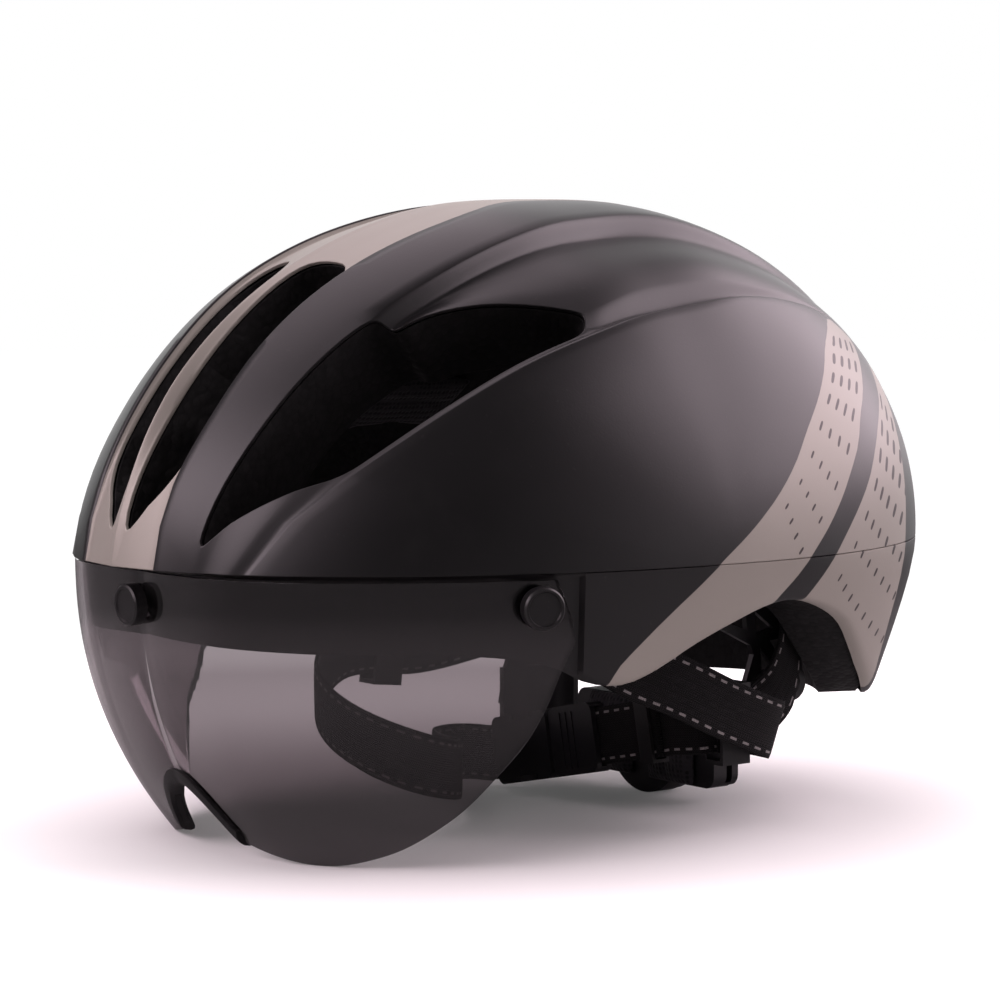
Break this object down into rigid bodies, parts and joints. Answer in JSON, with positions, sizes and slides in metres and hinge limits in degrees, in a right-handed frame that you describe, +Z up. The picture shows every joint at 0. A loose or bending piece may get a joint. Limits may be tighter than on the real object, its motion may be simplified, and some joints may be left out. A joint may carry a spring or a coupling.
{
  "type": "bicycle helmet with eye shield",
  "caption": "Rounded aero cycling helmet with a pull-off smoked eye shield, front slots, side vents, rear dial fit system, webbing straps and a side-release buckle.",
  "frame": {"origin": "on the ground under the middle of the helmet's outline (bounding-box bottom centre)", "axes": "+Z up, the front faces -Y, the wearer's left is +X"},
  "size_m": [0.206, 0.285, 0.1913],
  "materials": {
    "paint": "matte",
    "eps": "matte",
    "smoke": "polished",
    "trim": "matte",
    "plastic": "satin",
    "steel": "polished",
    "pad": "matte",
    "webbing": "matte"
  },
  "bodies": {
    "helmet": {"upper_shell": "paint", "lower_shell": "paint", "foam_liner": "eps", "shell_magnets": "steel", "brow_pad": "pad", "crown_pad": "pad", "side_pad_left": "pad", "side_pad_right": "pad", "cradle_housing": "plastic", "cradle_cover": "plastic", "cradle_hanger": "plastic", "hanger_anchor": "plastic", "nape_pad": "pad", "strap_front_left": "webbing", "strap_rear_left": "webbing", "strap_front_right": "webbing", "strap_rear_right": "webbing", "strap_anchors": "plastic", "divider_left": "plastic", "divider_right": "plastic", "chin_strap_left": "webbing", "chin_strap_right": "webbing", "buckle_socket": "plastic", "strap_keeper": "trim"},
    "visor": {"lens": "smoke", "nose_trim": "trim", "cap_front": "plastic", "cap_left": "plastic", "cap_right": "plastic", "lens_magnets": "steel"},
    "dial": {"dial_knob": "plastic", "dial_pinion": "plastic", "dial_screw": "steel"},
    "arm_left": {"arm_left": "plastic"},
    "arm_right": {"arm_right": "plastic"},
    "buckle": {"buckle_insert": "plastic", "buckle_strap": "webbing"}
  },
  "joints": [
    {"name": "visor_pull", "type": "slide", "parent": "helmet", "child": "visor", "axis": [0, -1, 0], "range_m": [0, 0.06]},
    {"name": "dial_turn", "type": "hinge", "parent": "helmet", "child": "dial", "pos_m": [0, 0.07, 0.018], "axis": [0, -1, 0], "range_deg": [0, 91.67]},
    {"name": "arm_left_slide", "type": "slide", "parent": "helmet", "child": "arm_left", "axis": [-1, 0, 0], "range_m": [0, 0.0081]},
    {"name": "arm_right_slide", "type": "slide", "parent": "helmet", "child": "arm_right", "axis": [1, 0, 0], "range_m": [0, 0.0081]},
    {"name": "buckle_release", "type": "slide", "parent": "helmet", "child": "buckle", "axis": [0.9781, 0, 0.2079], "range_m": [0, 0.016]}
  ],
  "couplings": [
    {"joint": "arm_left_slide", "follows": "dial_turn", "m_per_rad": 0.005},
    {"joint": "arm_right_slide", "follows": "dial_turn", "m_per_rad": 0.005}
  ]
}
